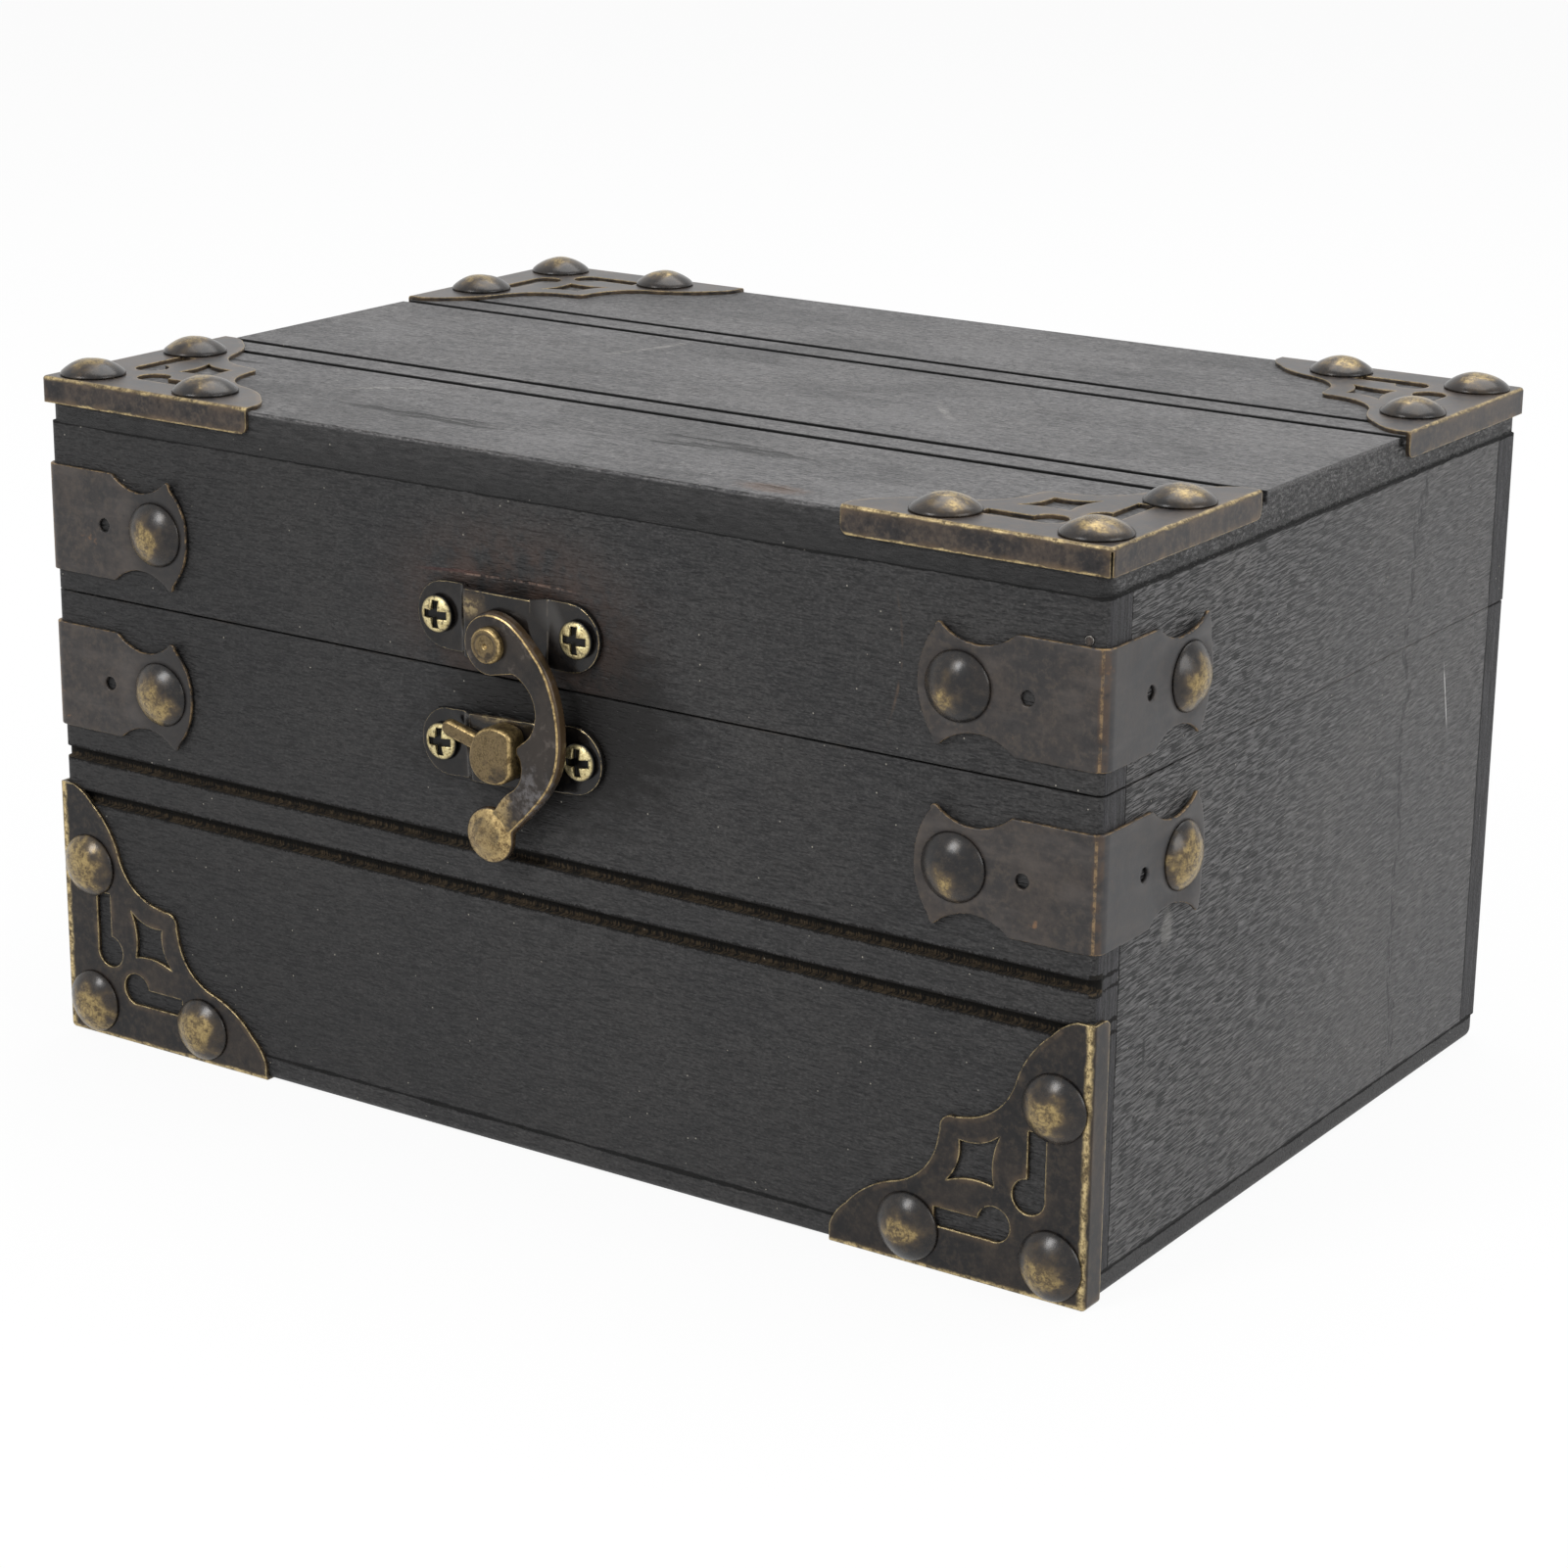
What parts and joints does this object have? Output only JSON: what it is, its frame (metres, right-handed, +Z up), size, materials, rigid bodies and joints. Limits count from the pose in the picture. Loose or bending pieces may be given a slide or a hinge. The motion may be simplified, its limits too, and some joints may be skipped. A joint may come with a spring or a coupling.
{
  "type": "jewelry box",
  "caption": "Dark stained wooden box with a hinged lid, pierced bronze corner plates, corner straps, dome-headed nails and a swing-arm latch on the front.",
  "frame": {"origin": "middle of the body's footprint, on the surface that the box rests on", "axes": "+X to the right seen from the front, along the longest side; the front faces -Y; +Z up"},
  "size_m": [0.186, 0.1345, 0.1052],
  "materials": {
    "stained_wood": "charcoal stain, satin, open grain",
    "bronze_dark": "antique bronze, worn bright at the edges",
    "bronze_bright": "antique bronze, rubbed",
    "worn_brass": "worn bright brass",
    "bright_steel": "plain wire"
  },
  "bodies": {
    "base": {"base_back_panel": "stained_wood", "base_bracket_nails": "bronze_bright", "base_front_panel": "stained_wood", "base_left_corner_bracket": "bronze_dark", "base_left_corner_strap": "bronze_dark", "base_left_panel": "stained_wood", "base_right_corner_bracket": "bronze_dark", "base_right_corner_strap": "bronze_dark", "base_right_panel": "stained_wood", "base_strap_nails": "bronze_bright", "bottom_panel": "stained_wood", "hinge_base_screws": "bronze_dark", "hinge_left_base_leaf": "bronze_dark", "hinge_left_pin": "bronze_dark", "hinge_right_base_leaf": "bronze_dark", "hinge_right_pin": "bronze_dark", "latch_catch": "bronze_bright", "latch_lower_plate": "bronze_dark", "latch_lower_screws": "worn_brass"},
    "lid": {"hinge_left_lid_leaf": "bronze_dark", "hinge_lid_screws": "bronze_dark", "hinge_right_lid_leaf": "bronze_dark", "latch_rivet": "bronze_bright", "latch_upper_plate": "bronze_dark", "latch_upper_screws": "worn_brass", "lid_back_left_bracket": "bronze_dark", "lid_back_rail": "stained_wood", "lid_back_right_bracket": "bronze_dark", "lid_bracket_nails": "bronze_bright", "lid_front_left_bracket": "bronze_dark", "lid_front_rail": "stained_wood", "lid_front_right_bracket": "bronze_dark", "lid_left_corner_strap": "bronze_dark", "lid_left_rail": "stained_wood", "lid_rail_brad": "bright_steel", "lid_right_corner_strap": "bronze_dark", "lid_right_rail": "stained_wood", "lid_strap_nails": "bronze_bright", "lid_top_board": "stained_wood"},
    "latch_arm": {"latch_swing_arm": "bronze_bright"}
  },
  "joints": [
    {"name": "lid_hinge", "type": "hinge", "parent": "base", "child": "lid", "pos_m": [0, 0.0645, 0.07035], "axis": [-1, 0, 0], "range_deg": [0, 180]},
    {"name": "latch_swing", "type": "hinge", "parent": "lid", "child": "latch_arm", "pos_m": [-0.00345, -0.066, 0.0764], "axis": [0, -1, 0], "range_deg": [0, 275]}
  ]
}
